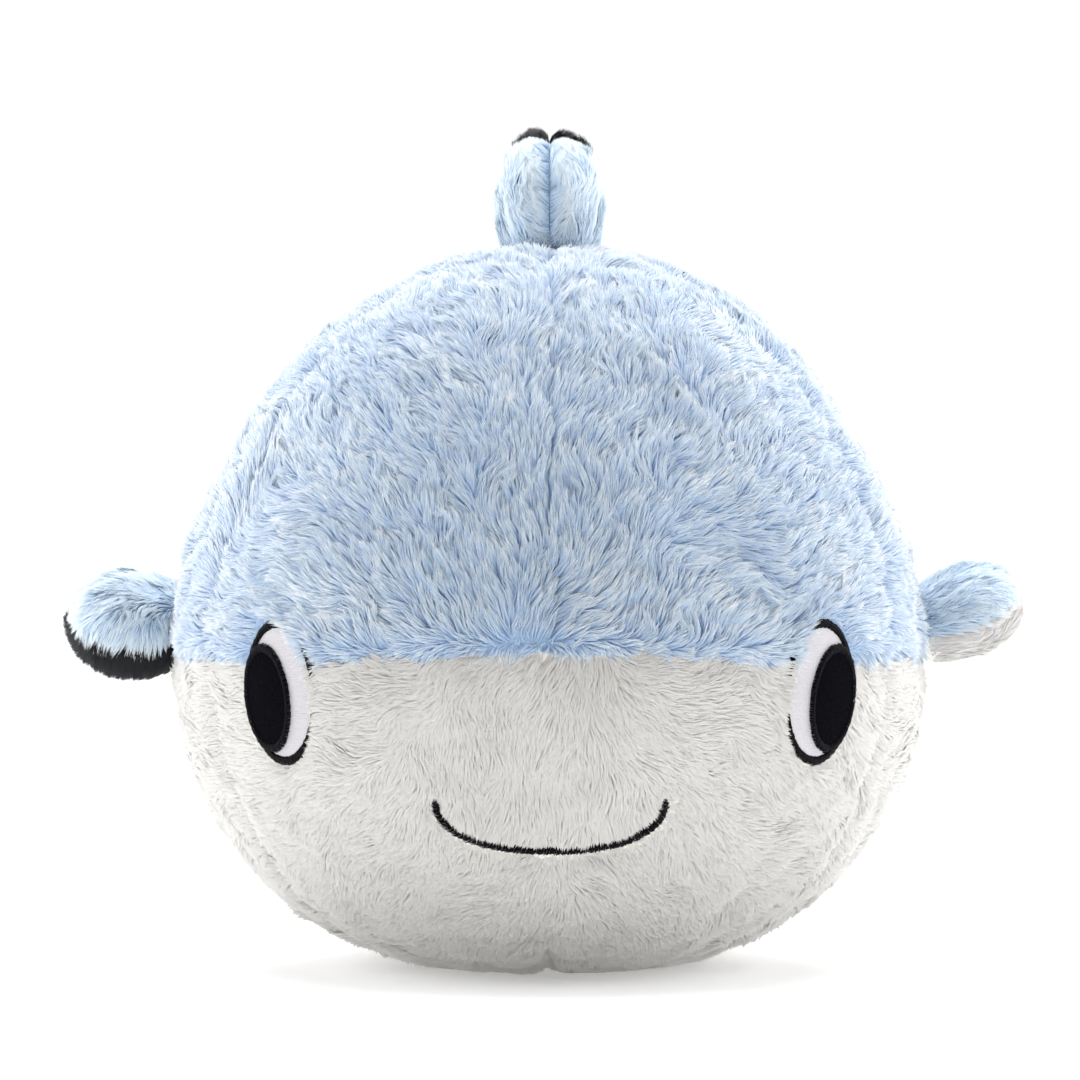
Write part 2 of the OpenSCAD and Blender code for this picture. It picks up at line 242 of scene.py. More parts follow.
def seam_distance(points):
    """Distance to the nearest sewn seam of the body, roughly, in the surface."""
    x, y, z = np.moveaxis(points, -1, 0)
    side = np.abs(np.abs(turn_of(points)) - SIDE_SEAM) * np.hypot(x, y - MID_Y)
    level = np.abs(above_seam(points))
    middle = np.where((z > SEAM_Z) | (y > MID_Y), np.abs(x), 1.0)
    return np.minimum(np.minimum(side, level), np.minimum(middle, dart_distance(points)))


def dart_distance(points):
    """Distance to the short dart that draws the white cloth in under the chin."""
    x, y, z = np.moveaxis(points, -1, 0)
    return np.where((z < DART_TOP) & (y < MID_Y), np.abs(x) + 0.08 * z, 1.0)


def body_grid(turns, rows, upper):
    """Grid of skin points and normals with seam grooves and the soft lumps of the filling."""
    turn, share = np.meshgrid(turns, np.linspace(0, 1, rows))
    seam = seam_lift(turn)
    if upper:
        lift = (seam + GAP) * (1 - share) + CROWN_LIFT * share
    else:
        lift = FLOOR_LIFT * (1 - share) + (seam - GAP) * share
    points = body_points(turn, lift)
    normals = grid_normals(points)
    flat = points.reshape(-1, 3)
    lump_share = smooth_step(flat[:, 2], 2 * MM, 30 * MM) * plain_share(flat)
    lumps = LARGE_LUMP_H * waves(flat, 95 * MM, 11) + SMALL_LUMP_H * waves(flat, 38 * MM, 12)
    groove = SEAM_GROOVE * np.exp(-((seam_distance(flat) / SEAM_GROOVE_W) ** 2))
    height = np.degrees(np.clip(lift.ravel(), 0, None))
    shoulder = SHOULDER_INSET * np.sin(math.pi * np.clip(height / 65, 0, 1)) ** 2
    shoulder -= CROWN_FILL * smooth_step(height, 50, 68)
    dart = DART_DEPTH * np.exp(-((dart_distance(flat) / DART_W) ** 2))
    dart *= 1 - smooth_step(flat[:, 2], 4 * MM, DART_TOP)
    groove *= smooth_step(flat[:, 2], 0, 12 * MM)
    move = lumps * lump_share - groove - SKIN_INSET - shoulder - dart
    moved = flat + normals.reshape(-1, 3) * move[:, None]
    moved[:, 2] = np.maximum(moved[:, 2], 0.8 * MM)
    moved = moved.reshape(points.shape)
    return moved, grid_normals(moved)


def plain_share(points):
    """0 under the eyes and smile, where the cloth is kept even, and 1 away from them."""
    eye = smooth_step(eye_place(points)[2], 1.0, 1.6)
    smile = smooth_step(mouth_distance(points), 4 * MM, 16 * MM)
    return np.where(points[:, 1] < MID_Y, np.minimum(eye, smile), 1)


def share_at(z):
    """Share of the full radius that the body has at height z."""
    up = z > SEAM_Z
    rise = np.clip(np.abs(z - SEAM_Z) / np.where(up, CROWN_RISE, BELLY_DROP), 0, 0.9999)
    return np.where(
        up,
        (1 - rise ** CROWN_POW[1]) ** (1 / CROWN_POW[0]),
        (1 - rise ** BELLY_POW[1]) ** (1 / BELLY_POW[0]),
    )


def face_points(x, z, out=0.0):
    """Points of the face above places of the front view, out along the surface's normal."""
    x, z = np.asarray(x, float), np.asarray(z, float)
    share = share_at(z)
    y = MID_Y - FACE_D * np.sqrt(np.maximum(share**2 - (x / BODY_R) ** 2, 1e-6))
    points = np.stack([x, y, z], -1)
    return points + face_normals(points) * np.asarray(out)[..., None]


def face_normals(points):
    x, y, z = np.moveaxis(points, -1, 0)
    step = 0.5 * MM
    slope = (share_at(z + step) - share_at(z - step)) / (2 * step)
    return unit(np.stack([x / BODY_R**2, (y - MID_Y) / FACE_D**2, -share_at(z) * slope], -1))


# ---- Materials ----


def new_material(name):
    material = bpy.data.materials.new(name)
    material.use_nodes = True
    nodes = material.node_tree.nodes
    return material, nodes, material.node_tree.links, nodes["Principled BSDF"]


def set_inputs(node, **values):
    """Set a node's inputs by their names, with _ for each space."""
    for name, value in values.items():
        node.inputs[name.replace("_", " ")].default_value = value


def attribute(nodes, name):
    node = nodes.new("ShaderNodeAttribute")
    node.attribute_name = name
    return node.outputs["Fac"]


def math_node(nodes, links, operation, *values, clamp=False):
    node = nodes.new("ShaderNodeMath")
    node.operation = operation
    node.use_clamp = clamp
    for socket, value in zip(node.inputs, values):
        if isinstance(value, (int, float)):
            socket.default_value = value
        else:
            links.new(value, socket)
    return node.outputs[0]


def noise_at(nodes, links, size, detail=2.0):
    """Noise texture in the piece's own coordinates with features about size across."""
    place = nodes.new("ShaderNodeTexCoord").outputs["Object"]
    noise = nodes.new("ShaderNodeTexNoise")
    set_inputs(noise, Scale=1 / size, Detail=detail)
    links.new(place, noise.inputs["Vector"])
    return noise.outputs["Fac"]


def add_bump(nodes, links, shader, height, strength, distance):
    bump = nodes.new("ShaderNodeBump")
    set_inputs(bump, Strength=strength, Distance=distance)
    links.new(height, bump.inputs["Height"])
    links.new(bump.outputs["Normal"], shader.inputs["Normal"])


def colour_by(nodes, links, value, stops):
    """Colour the material by value, along stops (place, colour)."""
    node = nodes.new("ShaderNodeValToRGB")
    elements = node.color_ramp.elements
    while len(elements) < len(stops):
        elements.new(0.5)
    for element, (place, colour) in zip(elements, stops):
        element.position = place
        element.color = (*colour, 1)
    links.new(value, node.inputs["Fac"])
    links.new(node.outputs["Color"], nodes["Principled BSDF"].inputs["Base Color"])
    return node.outputs["Color"]


PILE_ROUGHNESS = 0.62
PATCH_SIZE = 45 * MM


def fur_material(name, stops, sheen, sheen_tint, spread=0.30, patches=0.36, through=0.3):
    """Pile: darker at the root and lighter at the tip.

    spread is how far single strands differ along the stops, patches how far large areas do, and
    through is the share of the light that comes through the fibre."""
    material, nodes, links, shader = new_material(name)
    along = attribute(nodes, "along")
    tone = math_node(nodes, links, "MULTIPLY_ADD", attribute(nodes, "tone"), spread, -spread / 2)
    mottled = noise_at(nodes, links, PATCH_SIZE)
    drift = math_node(nodes, links, "MULTIPLY_ADD", mottled, patches, -patches / 2)
    place = math_node(nodes, links, "ADD", along, math_node(nodes, links, "ADD", tone, drift), clamp=True)
    let_light_through(nodes, links, colour_by(nodes, links, place, stops), through)
    set_inputs(shader, Roughness=PILE_ROUGHNESS, Specular_IOR_Level=0.25, Sheen_Weight=sheen,
               Sheen_Roughness=0.45, Sheen_Tint=(*sheen_tint, 1))
    return material


def let_light_through(nodes, links, colour, share):
    """Mix in the light that passes through thin fibres from behind."""
    behind = nodes.new("ShaderNodeBsdfTranslucent")
    links.new(colour, behind.inputs["Color"])
    mix = nodes.new("ShaderNodeMixShader")
    mix.inputs["Fac"].default_value = share
    links.new(nodes["Principled BSDF"].outputs["BSDF"], mix.inputs[1])
    links.new(behind.outputs["BSDF"], mix.inputs[2])
    links.new(mix.outputs["Shader"], nodes["Material Output"].inputs["Surface"])


def cloth_material(name, dark, light, size=0.7 * MM):
    """Knitted backing cloth under the pile: fine loops in rows."""
    material, nodes, links, shader = new_material(name)
    mottled = noise_at(nodes, links, size, 3)
    colour_by(nodes, links, mottled, [(0.3, dark), (0.7, light)])
    add_bump(nodes, links, shader, mottled, 0.5, 0.3 * MM)
    set_inputs(shader, Roughness=0.9, Specular_IOR_Level=0.1)
    return material


def thread_material(name, dark, light, roughness):
    """Embroidery thread: twisted filaments with a soft gloss."""
    material, nodes, links, shader = new_material(name)
    colour_by(nodes, links, attribute(nodes, "tone"), [(0.0, dark), (1.0, light)])
    add_bump(nodes, links, shader, noise_at(nodes, links, 0.15 * MM), 0.35, 0.05 * MM)
    set_inputs(shader, Roughness=roughness, Specular_IOR_Level=0.07)
    return material


BLUE_STOPS = [
    (0.0, (0.36, 0.52, 0.76)),
    (0.40, (0.43, 0.57, 0.76)),
    (0.75, (0.61, 0.71, 0.80)),
    (1.0, (0.91, 0.92, 0.92)),
]
# Fin pile: a paler copy of the blue pile, painted light that brightens the fins, which face the camera in
# shade.
BLUE_STOPS_PAINTED_LIT = [
    (0.0, (0.46, 0.66, 0.90)),
    (0.35, (0.62, 0.79, 0.95)),
    (0.70, (0.78, 0.89, 0.97)),
    (1.0, (0.90, 0.95, 0.98)),
]
WHITE_STOPS = [
    (0.0, (0.65, 0.637, 0.61)),
    (0.45, (0.68, 0.668, 0.645)),
    (1.0, (0.73, 0.722, 0.70)),
]
# Fin underside pile: a paler copy of the white pile, painted light that stands in for light thrown up from
# the floor.
WHITE_STOPS_PAINTED_BOUNCE = [
    (0.0, (0.76, 0.75, 0.73)),
    (0.45, (0.80, 0.79, 0.78)),
    (1.0, (0.85, 0.845, 0.835)),
]
BLACK_STOPS = [
    (0.0, (0.002, 0.002, 0.003)),
    (0.6, (0.003, 0.004, 0.006)),
    (1.0, (0.008, 0.009, 0.013)),
]

WARM_SHEEN = (1.0, 0.99, 0.98)
CREAM_SHEEN = (1.0, 0.99, 0.97)
COLD_SHEEN = (0.6, 0.7, 0.9)

fur_blue = fur_material("blue_pile", BLUE_STOPS, 0.9, WARM_SHEEN, spread=0.22)
# The fins' pile material carries painted light: it is paler than the body's blue, to light up fins left in
# shade.
fur_blue_painted_lit = fur_material("fin_pile_painted_lit", BLUE_STOPS_PAINTED_LIT, 0.6, WARM_SHEEN, spread=0.22)
fur_white = fur_material("white_pile", WHITE_STOPS, 0.5, CREAM_SHEEN, spread=0.13, patches=0.3, through=0.2)
# Painted bounce light: the fin's underside pile is whiter than the belly's.
fur_white_painted_bounce = fur_material("white_fin_pile_painted_bounce", WHITE_STOPS_PAINTED_BOUNCE, 0.5, CREAM_SHEEN, spread=0.09)
fur_black = fur_material("black_pile", BLACK_STOPS, 0.0, COLD_SHEEN, through=0.0)
cloth_blue = cloth_material("blue_backing", (0.25, 0.36, 0.52), (0.34, 0.46, 0.60))
cloth_white = cloth_material("white_backing", (0.72, 0.70, 0.66), (0.84, 0.82, 0.78))
cloth_black = cloth_material("black_backing", (0.006, 0.006, 0.008), (0.014, 0.014, 0.018))
cloth_fill = cloth_material("loose_fibre", (0.72, 0.72, 0.70), (0.90, 0.90, 0.88), 6 * MM)
thread_black = thread_material("black_thread", (0.001, 0.001, 0.002), (0.004, 0.004, 0.006), 0.5)
thread_white = thread_material("white_thread", (0.62, 0.62, 0.60), (0.80, 0.80, 0.78), 0.5)

PLUSH = {
    "blue": (fur_blue, cloth_blue, "blue_plush"),
    # Painted light: the fins' blue pile is a paler copy of the body's.
    "blue_painted_lit": (fur_blue_painted_lit, cloth_blue, "blue_plush"),
    "white": (fur_white, cloth_white, "white_plush"),
    # Painted light: the fin underside's white pile is a paler copy of the belly's.
    "white_painted_bounce": (fur_white_painted_bounce, cloth_white, "white_plush"),
    "black": (fur_black, cloth_black, "black_plush"),
}


# ---- Pile ----

STRAND_ROWS = (0.0, 0.5, 1.0)
STRANDS_PER_PIECE = 60000
STRAND_SPIN = 0.35
SHORTEST_STRAND = 1.2 * MM
STRAY = np.array([0.0, 0.18, 0.45]) * MM
STRAND_TONE = 0.45
LOCK_TONES = (0.2, 0.35)
LOCK_PULL = np.array([0.0, 0.45, 1.0])
SAVED_SHARE = 1.0


def scatter(surface, count, rng):
    """Random places on a mesh of quads, spread by area, with their normals."""
    points, normals, faces = surface
    tris = np.concatenate([faces[:, [0, 1, 2]], faces[:, [0, 2, 3]]])
    a, b, c = (points[tris[:, k]] for k in range(3))
    area = np.linalg.norm(np.cross(b - a, c - a), axis=1) / 2
    chosen = np.searchsorted(np.cumsum(area), rng.uniform(0, area.sum(), count))
    corner = tris[np.minimum(chosen, len(tris) - 1)]
    u, v = rng.uniform(size=(2, count, 1))
    over = (u + v) > 1
    u, v = np.where(over, 1 - u, u), np.where(over, 1 - v, v)
    place, normal = (
        (1 - u - v) * grid[corner[:, 0]] + u * grid[corner[:, 1]] + v * grid[corner[:, 2]]
        for grid in (points, normals)
    )
    return place, unit(normal)


def surface_area(surface):
    points, _, faces = surface
    a, b, c, d = (points[faces[:, k]] for k in range(4))
    halves = np.linalg.norm(np.cross(b - a, c - a), axis=1) + np.linalg.norm(np.cross(c - a, d - a), axis=1)
    return halves.sum() / 2


def nearest_of(places, centres):
    tree = KDTree(len(centres))
    for index, centre in enumerate(centres):
        tree.insert(centre, index)
    tree.balance()
    return np.array([tree.find(place)[1] for place in places])


def strand_paths(roots, normals, flow, length, lean_root, lean_tip):
    """Curved centre lines that leave the cloth steeply and lie over along the flow."""
    rows = [roots]
    for start, end in zip(STRAND_ROWS, STRAND_ROWS[1:]):
        lean = lean_root + (lean_tip - lean_root) * (start + end) / 2
        way = normals * np.cos(lean)[:, None] + flow * np.sin(lean)[:, None]
        rows.append(rows[-1] + way * (length * (end - start))[:, None])
    return np.stack(rows, 1)


def gathered(lines, roots, surface, paths, length, span, spacing, strength, rng):
    """Lines drawn towards the nearest lock's middle line, most at their tips and on the face."""
    centres, out = scatter(surface, max(int(surface_area(surface) / spacing**2), 8), rng)
    middle = paths(centres, out, np.full(len(centres), length))
    nearest = nearest_of(roots, centres)
    share = np.minimum(span / length, 1)[:, None, None]
    shape = (middle[nearest] - centres[nearest][:, None, :]) * share
    target = centres[nearest][:, None, :] + shape
    forward = 0.55 + 0.45 * smooth_step(-roots[:, 1], 20 * MM, 170 * MM)
    held = strength * forward * share[:, 0, 0]
    pull = (held * rng.uniform(0.5, 1.0, len(roots)))[:, None] * LOCK_PULL
    return lines + (target - lines) * pull[..., None], nearest


def grow_pile(name, surface, nap, colour, place_on, limit, seed, density, width, length=PILE_L,
              locks=((9 * MM, 0.28), (2.8 * MM, 0.80)), lean=(1.04, 1.49), painted_light_tone=0.0, even=0.86, stand=None):
    """Strands of pile on a surface (points, normals, quads), joined into a few large pieces.

    nap(points, normals) is the way they lie over, place_on(piece) makes a piece move with its
    body, limit(points) is the most that they may measure, and density is strands per square
    millimetre. locks are the spacings and strengths of the locks they gather into, lean the
    angles from the normal at root and tip, and the value after lean is painted light: it is added
    to their tone, so pile that the lamps leave in shade looks paler. even is how far they are lit
    like the skin, and stand(points) is how far they stand up from their lie."""
    rng = np.random.default_rng(seed)
    count = int(surface_area(surface) * 1e6 * density * SAVED_SHARE)
    width = width / SAVED_SHARE**0.4
    roots, out = scatter(surface, count, rng)
    span = length * rng.uniform(0.70, 1.10, count)
    most = limit(roots)
    keep = most > SHORTEST_STRAND
    roots, out, span = roots[keep], out[keep], np.minimum(span, most)[keep]
    count = len(roots)

    def paths(place, normal, share):
        lie = 0.09 * waves(place, 17 * MM, seed + 5) - (stand(place) if stand else 0)
        return strand_paths(place, normal, nap(place, normal), share, lean[0] + lie, lean[1] + lie)

    lines = paths(roots, out, span)
    # Painted light: the tone is raised by the value after lean, so pile that the lamps leave in shade looks
    # paler.
    tone = painted_light_tone + STRAND_TONE * rng.uniform(size=count)
    for weight, (spacing, strength) in zip(LOCK_TONES, locks):
        lines, nearest = gathered(lines, roots, surface, paths, length, span, spacing, strength, rng)
        tone += weight * rng.uniform(size=nearest.max() + 1)[nearest]
    lines = lines + rng.normal(size=(count, 1, 3)) * STRAY[:, None]
    lines[..., 2] = np.maximum(lines[..., 2], 0.7 * MM)
    verts, shade = strand_ribbons(lines, out, width, even, rng)
    material, _, slot = PLUSH[colour]
    parts = math.ceil(count / STRANDS_PER_PIECE)
    order = np.argsort(roots[:, 2])
    for part, chosen in enumerate(np.array_split(order, parts)):
        title = name if parts == 1 else f"{name}_{part + 1}"
        piece = strand_piece(title, verts[chosen], shade[chosen], tone[chosen])
        piece.data.materials.append(material)
        place_on(piece)


def strand_ribbons(lines, out, width, even, rng):
    """Five points and their shading normals for each strand: two at the root, two midway, one tip."""
    count = len(lines)
    way = unit(lines[:, 1:] - lines[:, :-1])
    spin = rng.uniform(-STRAND_SPIN, STRAND_SPIN, count)
    half = width / 2 * rng.uniform(0.7, 1.25, count)[:, None]
    sides = [turned(unit(np.cross(way[:, k], out)), way[:, k], spin) for k in range(2)]
    verts, shade = [], []
    for row, wide in ((0, 0.8), (1, 1.0)):
        face_out = unit(np.cross(sides[row], way[:, row]))
        face_out *= np.sign((face_out * out).sum(-1, keepdims=True) + 1e-9)
        soft = unit(out * even + face_out * (1 - even))
        for sign in (-1, 1):
            verts.append(lines[:, row] + sides[row] * half * sign * wide)
            shade.append(unit(soft + 1.3 * (1 - even) * sign * sides[row]))
    verts.append(lines[:, 2])
    shade.append(soft)
    return np.stack(verts, 1), np.stack(shade, 1)


def strand_piece(name, verts, shade, tone):
    """One mesh of five-point strands, with the attributes and the UV cells that its material needs."""
    count = len(verts)
    corner = np.array([0, 1, 3, 2, 2, 3, 4])
    mesh = bpy.data.meshes.new(name)
    mesh.vertices.add(count * 5)
    mesh.vertices.foreach_set("co", verts.astype(np.float32).ravel())
    loops = (np.arange(count)[:, None] * 5 + corner[None, :]).ravel()
    mesh.loops.add(count * 7)
    mesh.loops.foreach_set("vertex_index", loops.astype(np.int32))
    starts = (np.arange(count)[:, None] * 7 + np.array([0, 4])[None, :]).ravel()
    mesh.polygons.add(count * 2)
    mesh.polygons.foreach_set("loop_start", starts.astype(np.int32))
    mesh.update(calc_edges=True)
    along = np.tile([0.0, 0.0, 0.5, 0.5, 1.0], count)
    set_attribute(mesh, "along", along)
    set_attribute(mesh, "tone", np.repeat(tone, 5))
    cells = math.ceil(math.sqrt(count))
    cell = np.stack([np.arange(count) % cells, np.arange(count) // cells], -1)[:, None, :]
    inside = np.array([[0.2, 0.1], [0.8, 0.1], [0.2, 0.5], [0.8, 0.5], [0.5, 0.95]])
    uv = ((cell + inside[None, :, :]) / cells)[:, corner]
    layer = mesh.uv_layers.new(name="OFBake")
    layer.uv.foreach_set("vector", uv.astype(np.float32).ravel())
    mesh.shade_smooth()
    mesh.normals_split_custom_set_from_vertices(shade.reshape(-1, 3).astype(np.float32))
    return new_object(name, mesh)


# ---- Nap and trimming of the body's pile ----

WHORL = np.array([-10 * MM, MID_Y - FACE_D, SEAM_Z - 30 * MM])
WHITE_WHORL = np.array([0, MID_Y - FACE_D, SEAM_Z + 25 * MM])


def blue_nap(points, normals):
    """Brushed up and out from the nose, parted along the middle, and hanging over the seam below."""
    away = unit(points - WHORL)
    away[:, 0] += np.sign(points[:, 0]) * 0.15 * np.exp(-np.abs(points[:, 0]) / (14 * MM))
    hang = (1 - smooth_step(above_seam(points), 1 * MM, 10 * MM))[:, None]
    down = np.array([0, 0, -1.0]) + 0.5 * away
    return swirled(tangent(away * (1 - hang) + down * hang, normals), points, normals)


def white_nap(points, normals):
    """Brushed down and out from just above the nose."""
    return swirled(tangent(unit(points - WHITE_WHORL), normals), points, normals)


SWIRLS = ((0.30, 80 * MM), (0.26, 28 * MM), (0.22, 9 * MM))


def swirled(flow, points, normals):
    """Flow turned a little this way and that, in large, middling and small patches."""
    swirl = sum(angle * waves(points, size, 21 + k) for k, (angle, size) in enumerate(SWIRLS))
    return turned(flow, normals, swirl)


def eye_place(points):
    """Place by the nearer eye in the front view: out from its middle, up, and 1 on its outline."""
    u, w = np.abs(points[:, 0]) - EYE_X, points[:, 2] - EYE_Z
    out = u * math.cos(EYE_TILT) - w * math.sin(EYE_TILT)
    up = u * math.sin(EYE_TILT) + w * math.cos(EYE_TILT)
    return out, up, np.hypot(out / EYE_HALF_W, up / EYE_HALF_H)


def outline_distance(out, up, oval):
    """Distance past the eye's outline, roughly: below 0 under the eye."""
    return np.hypot(out, up) * (1 - 1 / np.maximum(oval, 0.2))


def mouth_curve(angle, out=0.0):
    """Places x and z along the smile, from the shark's right to its left, out past its line."""
    w, h = MOUTH_HALF_W + out, MOUTH_DROP + out
    cos, sin = np.cos(angle), np.maximum(np.sin(angle), 0)
    return -w * np.sign(cos) * np.abs(cos) ** (2 / MOUTH_POW), MOUTH_Z - h * sin ** (2 / MOUTH_POW)


def mouth_distance(points):
    """Distance to the smile in the front view."""
    line = np.stack(mouth_curve(np.linspace(0, math.pi, 160)), -1)
    gap = np.full(len(points), 1.0)
    near = (points[:, 1] < MID_Y - 60 * MM) & (points[:, 2] < MOUTH_Z + 20 * MM)
    near &= (np.abs(points[:, 0]) < MOUTH_HALF_W + 20 * MM) & (points[:, 2] > MOUTH_Z - MOUTH_DROP - 20 * MM)
    if near.any():
        delta = points[near][:, None, [0, 2]] - line[None, :, :]
        gap[near] = np.sqrt((delta**2).sum(-1).min(1))
    return gap


EYE_OVERHANG_BLUE = 9.5 * MM
EYE_OVERHANG_WHITE = 5.0 * MM
EYE_TILT = math.radians(4)
PUPIL_TILT = math.radians(7)
TUFT_OVERHANG = 4.0 * MM
SMILE_CLEAR = 1.7 * MM
SMILE_OVERHANG = 1.3 * MM


def body_limit(points):
    """Most that the pile may measure: none under the eyes and smile, and no long strands over them."""
    gap = mouth_distance(points)
    above = points[:, 2] > MOUTH_Z - MOUTH_DROP
    growth = np.where(above, 1.1, 2.2)
    mouth = np.where(gap > SMILE_CLEAR, (gap - SMILE_CLEAR) * growth + SMILE_OVERHANG, 0.0)
    seam = 11 * MM + seam_distance(points)
    height = above_seam(points)
    ragged = TUFT_OVERHANG * (1 + 0.35 * waves(points, 9 * MM, 24))
    tuft = np.where(height > 0, ragged + height * 1.1, 1.0)
    dart = 5 * MM + dart_distance(points) * 0.8
    under = 6 * MM + points[:, 2] * 0.5
    return np.min([eye_limit(points), mouth, seam, tuft, dart, under], axis=0)


def face_stand(points):
    """How far the pile stands up where it hangs over the eyes' rims and the smile."""
    out, up, oval = eye_place(points)
    beside = np.exp(-((outline_distance(out, up, oval) / (7 * MM)) ** 2)) * (out < 3 * MM)
    smile = np.exp(-((mouth_distance(points) / (6 * MM)) ** 2)) * (points[:, 2] > MOUTH_Z - MOUTH_DROP)
    return np.where(points[:, 1] < MID_Y, np.maximum(0.42 * beside, 0.20 * smile), 0)


def eye_limit(points):
    """Pile by the eyes: long enough on the inner side to hide the rim's upper part, short elsewhere."""
    out, up, oval = eye_place(points)
    oval = np.where(points[:, 1] < MID_Y, oval, 9.0)
    outline = outline_distance(out, up, oval)
    blue = smooth_step(points[:, 2], SEAM_Z - 4 * MM, SEAM_Z + 3 * MM)
    white = EYE_OVERHANG_WHITE * smooth_step(points[:, 2], SEAM_Z - 34 * MM, SEAM_Z - 8 * MM)
    overhang = blue * EYE_OVERHANG_BLUE + (1 - blue) * white
    inner = smooth_step(-out, -1 * MM, 5 * MM)
    limit = (outline * 1.15 + overhang) * inner + (outline * 2.0 + 3.0 * MM) * (1 - inner)
    return np.where(outline > -0.6 * MM, limit, 0.0)


# ---- Body panels ----

STEP = math.radians(2.0)
PANEL_ROWS = 45
GAP = math.radians(0.015)
CROWN_LIFT = math.radians(89)
FLOOR_LIFT = math.radians(-89.7)


FRONT_PILE = {"density": 1.5, "width": 0.60 * MM}
REAR_PILE = {"density": 1.05, "width": 0.66 * MM}
WHITE_WIDTH = 1.25
WHITE_PILE = {
    "length": BELLY_PILE_L,
    "lean": (1.15, 1.52),
    "locks": ((12 * MM, 0.18), (2.4 * MM, 0.16)),
    "even": 0.97,
}


def add_skin(name, surface, colour, node, place_on):
    points, _, faces = surface
    _, cloth, slot = PLUSH[colour]
    add_piece(name, points, faces, cloth, place_on, node)


def body_panel(node, colour, turn_from, turn_to, seed):
    turns = np.linspace(turn_from + GAP, turn_to - GAP, round((turn_to - turn_from) / STEP) + 1)
    points, normals = body_grid(turns, PANEL_ROWS, colour == "blue")
    surface = points.reshape(-1, 3), normals.reshape(-1, 3), grid_faces(*points.shape[:2])
    add_skin(f"{node}_skin", surface, colour, node, rides("body"))
    front = abs(turn_from + turn_to) / 2 < SIDE_SEAM
    kind = dict(FRONT_PILE if front else REAR_PILE, stand=face_stand)
    if colour == "white":
        kind.update(WHITE_PILE)
        kind.update(width=kind["width"] * WHITE_WIDTH)
    nap = white_nap if colour == "white" else blue_nap
    grow_pile(f"{node}_pile", surface, nap, colour, rides("body"), body_limit, seed, **kind)


def build_body():
    panels = [
        ("forehead_left", "blue", 0, SIDE_SEAM),
        ("forehead_right", "blue", -SIDE_SEAM, 0),
        ("back_left", "blue", SIDE_SEAM, math.pi),
        ("back_right", "blue", -math.pi, -SIDE_SEAM),
        ("muzzle_panel", "white", -SIDE_SEAM, SIDE_SEAM),
        ("belly_left", "white", SIDE_SEAM, math.pi),
        ("belly_right", "white", -math.pi, -SIDE_SEAM),
    ]
    for number, panel in enumerate(panels):
        body_panel(*panel, seed=100 + number)
    fill_body()


def fill_body():
    """The loose fibre that fills the body, just inside its panels."""
    turns = np.linspace(-math.pi, math.pi, 73)[:-1]
    lifts = np.linspace(FLOOR_LIFT, CROWN_LIFT, 40)
    turn, lift = np.meshgrid(turns, lifts)
    points = body_points(turn, lift, -8 * MM)
    points[..., 2] = np.maximum(points[..., 2], 5 * MM)
    flat = points.reshape(-1, 3)
    inward = unit(np.array([0, MID_Y, SEAM_Z]) - flat)
    flat = flat + inward * (1.2 * MM * (1 + waves(flat, 30 * MM, 31)))[:, None]
    add_filling("body_filling", flat, *points.shape[:2], "body_stuffing", "body", 0.9)


def end_faces(start, cols):
    """Faces that close a ring of cols points, each between two neighbours and the two opposite them."""
    faces = []
    for k in range(-cols // 4, cols // 4):
        ring = [k, k + 1, cols // 2 - k - 1, cols // 2 - k]
        faces.append(tuple(dict.fromkeys(start + place % cols for place in ring)))
    return faces


def add_filling(name, flat, rows, cols, node, body, fill):
    faces = [tuple(f) for f in grid_faces(rows, cols, wrap=True)]
    first = [face[::-1] for face in end_faces(0, cols)]
    last = end_faces((rows - 1) * cols, cols)
    piece = add_piece(name, flat, faces + first + last, cloth_fill, rides(body), node)


# ---- Fins ----

# Shape of each fin: reach, half chord, half thickness, sweep, lobe span, notch, corner rounding
PECTORAL = (32.4, 35, 21, 6, 0, 0, 0)
DORSAL = (36, 42, 25.5, 20, 0, 0, 0)
TAIL = (73.5, 24, 13.5, 0, 70, 0.3, 0.14)
FIN_CLOTH_T = 3
NECK_L = 1.25
RIDGE_W = 4.6
FROM_NECK = (-1, -1)
TO_TIP = (1, 1)
FIN_PILE = {
    "density": 1.9,
    "width": 0.46 * MM,
    "length": FIN_PILE_L,
    "locks": ((7 * MM, 0.18), (2.2 * MM, 0.40)),
    "lean": (1.05, 1.46),
    "even": 0.94,
}


def fin_local(shape, across, along, inset=0.0, tip_inset=None):
    """Out, chord and thickness of a sewn fin; along below 0 is the neck that runs into the body."""
    reach, chord, root, sweep, lobe, notch, rounding = shape
    root, reach = root - inset, reach - (inset if tip_inset is None else tip_inset)
    rise = np.sin(np.clip(along, 0, 1) * math.pi / 2)
    if lobe:
        half = chord + (lobe - chord) * rise**1.3
    else:
        half = chord * np.cos(np.radians(84) * np.clip(along, 0, 1)) ** 0.8
    cut = notch * np.cos(across) ** 2 + rounding * np.sin(across) ** 8
    out = np.where(along < 0, NECK_L * root * along, reach * rise * (1 - cut))
    half = np.maximum(half - inset, half * 0.3) * np.where(along < 0, 1 - 0.10 * along**2, 1)
    thick = root * np.cos(np.clip(along, 0, 1) * math.pi / 2) ** 0.8 * np.maximum(np.cos(across), 0) ** 0.75
    thick = thick * (1 - 0.15 * np.clip(-along, 0, 1))
    return out, sweep * rise**2 * np.ones_like(out) + half * np.sin(across), np.maximum(thick, 0.12)


